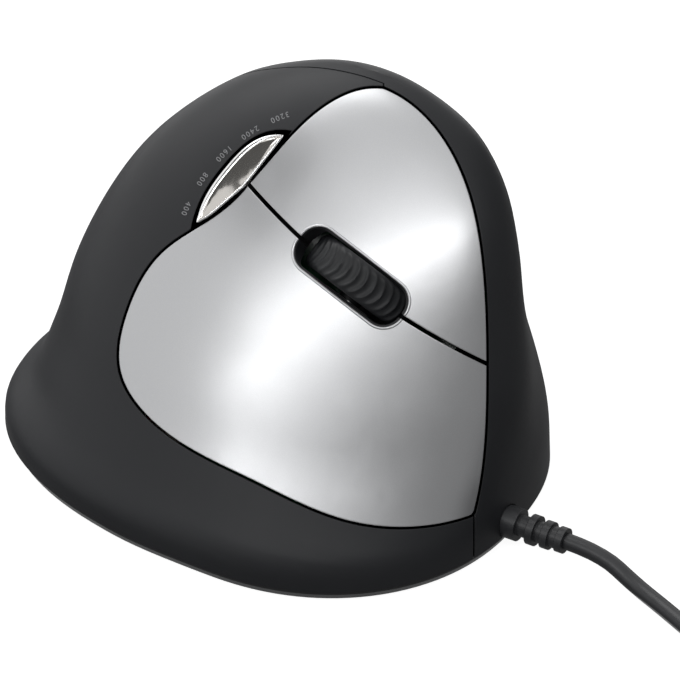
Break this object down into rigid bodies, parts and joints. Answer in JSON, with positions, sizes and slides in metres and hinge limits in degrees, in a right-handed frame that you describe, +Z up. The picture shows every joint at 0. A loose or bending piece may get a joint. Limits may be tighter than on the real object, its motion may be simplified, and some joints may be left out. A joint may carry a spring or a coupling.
{
  "type": "vertical computer mouse",
  "caption": "Right-handed vertical computer mouse with two finger buttons, a scroll wheel, a chrome resolution key, side keys and a wound cable with its plug.",
  "frame": {"origin": "on the desk, below the middle of the housing", "axes": "+Z up, +Y towards the nose where the cable leaves, +X towards the finger side"},
  "size_m": [0.0897, 0.2043, 0.074],
  "materials": {
    "soft_shell": "soft touch",
    "silver_shell": "satin metallic",
    "chrome_key": "polished",
    "side_key_plastic": "satin",
    "wheel_rubber": "ribbed",
    "dark_plastic": "moulded",
    "frame_plastic": "moulded",
    "foot_plastic": "smooth",
    "board": "lacquered",
    "switch_plastic": "moulded",
    "plunger_plastic": "moulded",
    "steel": "bright",
    "chip": "moulded",
    "clear": "clear moulding",
    "lamp_red": "tinted",
    "connector_plastic": "moulded",
    "lead_insulation": "smooth",
    "cable_rubber": "smooth",
    "tie_plastic": "woven",
    "insert_plastic": "moulded"
  },
  "bodies": {
    "housing": {"palm_shell": "soft_shell", "thumb_shell": "soft_shell", "upper_hinge_pin": "steel", "lower_hinge_pin": "steel", "inner_frame": "frame_plastic", "button_board": "board", "side_board": "board", "upper_switch": "switch_plastic", "lower_switch": "switch_plastic", "wheel_switch": "switch_plastic", "dpi_switch": "switch_plastic", "rear_side_switch": "switch_plastic", "front_side_switch": "switch_plastic", "base_plate": "dark_plastic", "glide_feet": "foot_plastic", "base_screws": "steel", "main_board": "board", "board_screws": "steel", "optical_sensor": "chip", "sensor_lens": "clear", "tracking_lamp": "lamp_red", "deck_connector": "connector_plastic", "main_connector": "connector_plastic", "board_leads": "lead_insulation", "inner_cable": "cable_rubber", "cable_header": "connector_plastic", "strain_relief": "cable_rubber", "cable": "cable_rubber", "cable_coil": "cable_rubber", "cable_tail": "cable_rubber", "cable_tie": "tie_plastic", "usb_housing": "cable_rubber", "usb_shell": "steel", "usb_insert": "insert_plastic"},
    "upper_finger": {"upper_button": "silver_shell"},
    "lower_finger": {"lower_button": "silver_shell"},
    "click_cradle": {"wheel_cradle": "frame_plastic", "wheel_encoder": "dark_plastic"},
    "scroll_wheel": {"wheel_tyre": "wheel_rubber", "wheel_hub": "dark_plastic", "wheel_axle": "steel"},
    "dpi_key": {"dpi_button": "chrome_key"},
    "rear_side_key": {"rear_side_button": "side_key_plastic"},
    "front_side_key": {"front_side_button": "side_key_plastic"},
    "upper_press": {"upper_plunger": "plunger_plastic"},
    "lower_press": {"lower_plunger": "plunger_plastic"},
    "wheel_press": {"wheel_plunger": "plunger_plastic"},
    "dpi_press": {"dpi_plunger": "plunger_plastic"},
    "rear_side_press": {"rear_side_plunger": "plunger_plastic"},
    "front_side_press": {"front_side_plunger": "plunger_plastic"}
  },
  "joints": [
    {"name": "upper_turn", "type": "hinge", "parent": "housing", "child": "upper_finger", "pos_m": [-0.01011, 0.00078, 0.05512], "axis": [-0.7014, 0.2902, 0.651], "range_deg": [0, 0.7], "stiffness_Nm_per_rad": 0.2, "springref_deg": -8.59},
    {"name": "lower_turn", "type": "hinge", "parent": "housing", "child": "lower_finger", "pos_m": [0.0066, -0.00903, 0.03602], "axis": [-0.7014, 0.2902, 0.651], "range_deg": [0, 0.7], "stiffness_Nm_per_rad": 0.3, "springref_deg": -8.59},
    {"name": "wheel_click", "type": "slide", "parent": "housing", "child": "click_cradle", "axis": [-0.709, -0.1913, -0.6787], "range_m": [0, 0.0004], "stiffness_N_per_m": 1500, "springref_m": -0.0004},
    {"name": "wheel_spin", "type": "hinge", "parent": "click_cradle", "child": "scroll_wheel", "pos_m": [-0.00315, 0.01813, 0.04414], "axis": [-0.7014, 0.2902, 0.651], "continuous": true},
    {"name": "dpi_slide", "type": "slide", "parent": "housing", "child": "dpi_key", "axis": [-0.6441, 0.1627, -0.7475], "range_m": [0, 0.00035], "stiffness_N_per_m": 1500, "springref_m": -0.0004},
    {"name": "rear_side_slide", "type": "slide", "parent": "housing", "child": "rear_side_key", "axis": [0.9734, -0.134, 0.1857], "range_m": [0, 0.0004], "stiffness_N_per_m": 1500, "springref_m": -0.0004},
    {"name": "front_side_slide", "type": "slide", "parent": "housing", "child": "front_side_key", "axis": [0.9734, -0.134, 0.1857], "range_m": [0, 0.0004], "stiffness_N_per_m": 1500, "springref_m": -0.0004},
    {"name": "upper_press_slide", "type": "slide", "parent": "housing", "child": "upper_press", "axis": [-0.709, -0.1913, -0.6787], "range_m": [0, 0.0005]},
    {"name": "lower_press_slide", "type": "slide", "parent": "housing", "child": "lower_press", "axis": [-0.709, -0.1913, -0.6787], "range_m": [0, 0.0005]},
    {"name": "wheel_press_slide", "type": "slide", "parent": "housing", "child": "wheel_press", "axis": [-0.709, -0.1913, -0.6787], "range_m": [0, 0.0004]},
    {"name": "dpi_press_slide", "type": "slide", "parent": "housing", "child": "dpi_press", "axis": [-0.6441, 0.1627, -0.7475], "range_m": [0, 0.00035]},
    {"name": "rear_side_press_slide", "type": "slide", "parent": "housing", "child": "rear_side_press", "axis": [0.9734, -0.134, 0.1857], "range_m": [0, 0.0004]},
    {"name": "front_side_press_slide", "type": "slide", "parent": "housing", "child": "front_side_press", "axis": [0.9734, -0.134, 0.1857], "range_m": [0, 0.0004]}
  ],
  "couplings": [
    {"joint": "upper_press_slide", "follows": "upper_turn", "m_per_rad": 0.0305},
    {"joint": "lower_press_slide", "follows": "lower_turn", "m_per_rad": 0.032},
    {"joint": "wheel_press_slide", "follows": "wheel_click", "ratio": 1},
    {"joint": "dpi_press_slide", "follows": "dpi_slide", "ratio": 1},
    {"joint": "rear_side_press_slide", "follows": "rear_side_slide", "ratio": 1},
    {"joint": "front_side_press_slide", "follows": "front_side_slide", "ratio": 1}
  ]
}
